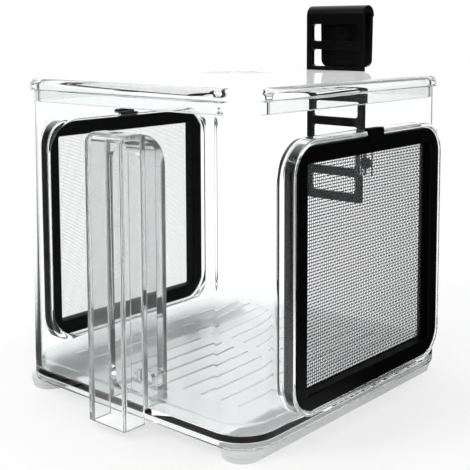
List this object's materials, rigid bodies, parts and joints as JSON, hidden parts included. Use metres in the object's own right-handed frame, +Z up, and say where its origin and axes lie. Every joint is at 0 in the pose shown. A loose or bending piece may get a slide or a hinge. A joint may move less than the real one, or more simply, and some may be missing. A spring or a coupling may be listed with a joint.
{
  "type": "fish breeding box",
  "caption": "Clear fish breeding box with lid, screened side windows, an air-lift column and a black ladder hanger that hooks over aquarium glass.",
  "frame": {"origin": "under the middle of the bounding box, on the surface the box stands on; the tank itself is centred on it", "axes": "+Z up; +X towards the right window, the one with the steel screen; -Y towards the air-lift column and +Y towards the hanger"},
  "size_m": [0.157, 0.1754, 0.179],
  "materials": {
    "clear_tank": "clear moulded plastic, polished",
    "clear_lid": "clear moulded plastic, polished",
    "clear_column": "clear moulded plastic, slightly grey through its thickness",
    "clear_grid": "clear moulded plastic",
    "clear_clip": "clear moulded plastic",
    "frame_black": "black moulded plastic, soft sheen",
    "steel_screen": "fine woven steel wire, dark grey",
    "fine_screen": "very fine steel wire, more open than the right screen",
    "hanger_black": "black moulded plastic, satin",
    "pad_rubber": "soft black rubber"
  },
  "bodies": {
    "tank": {"tank_body": "clear_tank", "base_runner_right": "clear_tank", "base_runner_left": "clear_tank", "window_collar_right": "clear_tank", "window_collar_left": "clear_tank", "column_outer": "clear_column", "column_inner": "clear_column", "guide_clip_right": "clear_clip", "guide_clip_left": "clear_clip", "guide_rivet": "hanger_black"},
    "lid": {"lid": "clear_lid"},
    "window_right": {"window_frame_right": "frame_black", "window_mesh_right": "steel_screen"},
    "window_left": {"window_frame_left": "frame_black", "window_mesh_left": "fine_screen"},
    "grid": {"floor_grid": "clear_grid"},
    "hanger": {"hanger": "hanger_black", "hook_pad": "pad_rubber"}
  },
  "joints": [
    {"name": "lid_lift", "type": "slide", "parent": "tank", "child": "lid", "axis": [0, 0, 1], "range_m": [0, 0.03]},
    {"name": "window_right_pull", "type": "slide", "parent": "tank", "child": "window_right", "axis": [1, 0, 0], "range_m": [0, 0.02]},
    {"name": "window_left_pull", "type": "slide", "parent": "tank", "child": "window_left", "axis": [-1, 0, 0], "range_m": [0, 0.02]},
    {"name": "grid_lift", "type": "slide", "parent": "tank", "child": "grid", "axis": [0, 0, 1], "range_m": [0, 0.06]},
    {"name": "hanger_height", "type": "slide", "parent": "tank", "child": "hanger", "axis": [0, 0, 1], "range_m": [-0.0536, 0.0268]}
  ]
}
